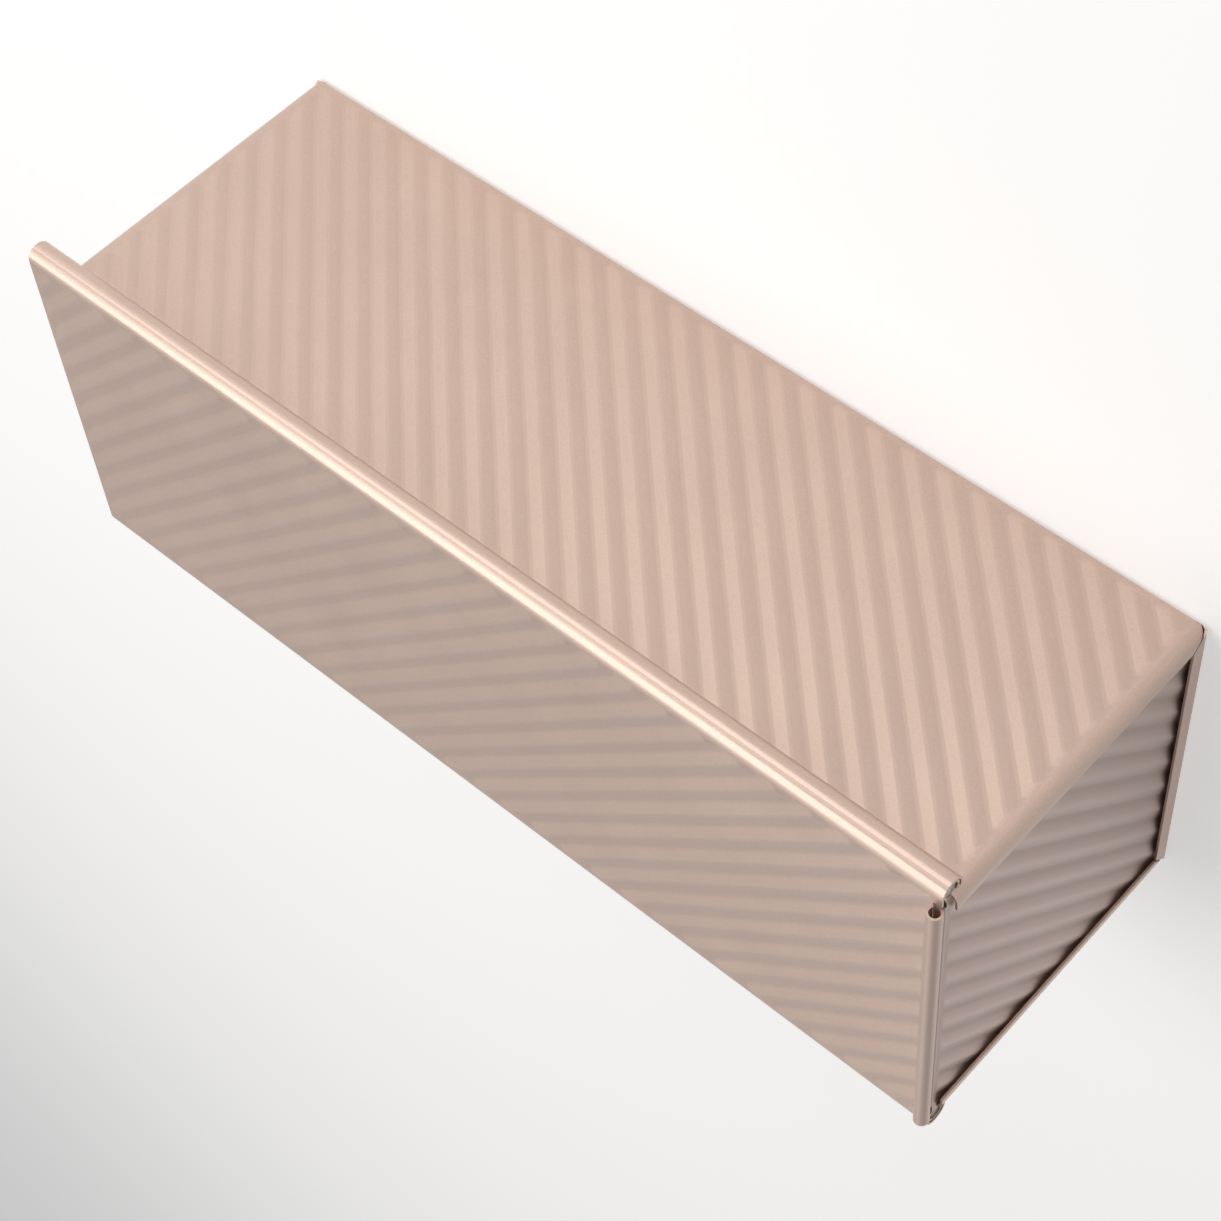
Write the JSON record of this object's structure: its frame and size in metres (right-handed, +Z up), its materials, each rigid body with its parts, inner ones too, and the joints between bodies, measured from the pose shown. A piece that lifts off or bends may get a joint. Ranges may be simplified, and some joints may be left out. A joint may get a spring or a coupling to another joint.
{
  "type": "pullman loaf pan",
  "caption": "Long box-shaped loaf pan of diagonally fluted sheet steel with folded ends, rolled rims and a lid that slides on along the rims.",
  "frame": {"origin": "middle of the base, on the plane that the pan rests on", "axes": "+Z up and out of the pan's mouth; +X along the length, towards the lid's grip curl; +Y towards the front long side"},
  "size_m": [0.339, 0.1282, 0.1144],
  "materials": {
    "coated_sheet": "satin champagne non-stick coating with fine speckle",
    "wire_steel": "drawn wire, matt"
  },
  "bodies": {
    "pan": {"pan_body": "coated_sheet", "end_wall_left": "coated_sheet", "end_wall_right": "coated_sheet", "rim_wire_front": "wire_steel", "rim_wire_back": "wire_steel"},
    "lid": {"lid": "coated_sheet"}
  },
  "joints": [
    {"name": "lid_slide", "type": "slide", "parent": "pan", "child": "lid", "axis": [1, 0, 0], "range_m": [0, 0.34]}
  ]
}
